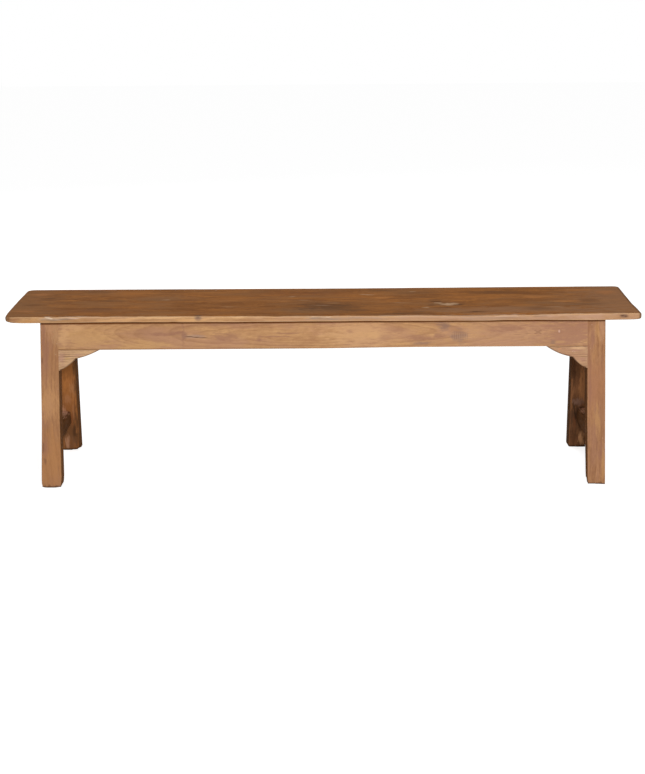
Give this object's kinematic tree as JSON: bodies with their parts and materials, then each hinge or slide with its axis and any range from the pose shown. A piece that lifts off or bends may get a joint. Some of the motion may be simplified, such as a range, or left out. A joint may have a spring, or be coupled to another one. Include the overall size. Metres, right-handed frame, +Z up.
{
  "type": "backless rustic bench",
  "caption": "Long backless wooden bench: single plank seat on four raked legs, aprons with scalloped corner brackets and low end stretchers.",
  "frame": {"origin": "on the floor, below the middle of the seat", "axes": "+X along the bench towards its right end as seen from the front, +Y from the front to the back, +Z up"},
  "size_m": [1.6296, 0.374, 0.45],
  "materials": {
    "seat_wood": "worn dark plank with a thin wax, lighter where the front edge is rubbed",
    "frame_wood": "honey brown planed wood with straight grain and a few knots",
    "peg_wood": "plain turned pegs, end grain showing",
    "screw_steel": "dull countersunk screws"
  },
  "bodies": {
    "root": {"back_apron": "frame_wood", "back_apron_pegs": "peg_wood", "back_left_bracket": "frame_wood", "back_left_bracket_dowels": "peg_wood", "back_left_leg": "frame_wood", "back_right_bracket": "frame_wood", "back_right_bracket_dowels": "peg_wood", "back_right_leg": "frame_wood", "front_apron": "frame_wood", "front_apron_pegs": "peg_wood", "front_left_bracket": "frame_wood", "front_left_bracket_dowels": "peg_wood", "front_left_leg": "frame_wood", "front_right_bracket": "frame_wood", "front_right_bracket_dowels": "peg_wood", "front_right_leg": "frame_wood", "left_batten": "frame_wood", "left_batten_screws": "screw_steel", "left_end_rail": "frame_wood", "left_end_rail_pegs": "peg_wood", "left_end_rail_screws": "screw_steel", "left_stretcher": "frame_wood", "left_stretcher_pegs": "peg_wood", "middle_batten": "frame_wood", "middle_batten_screws": "screw_steel", "right_batten": "frame_wood", "right_batten_screws": "screw_steel", "right_end_rail": "frame_wood", "right_end_rail_pegs": "peg_wood", "right_end_rail_screws": "screw_steel", "right_stretcher": "frame_wood", "right_stretcher_pegs": "peg_wood", "seat_plank": "seat_wood"}
  },
  "joints": []
}
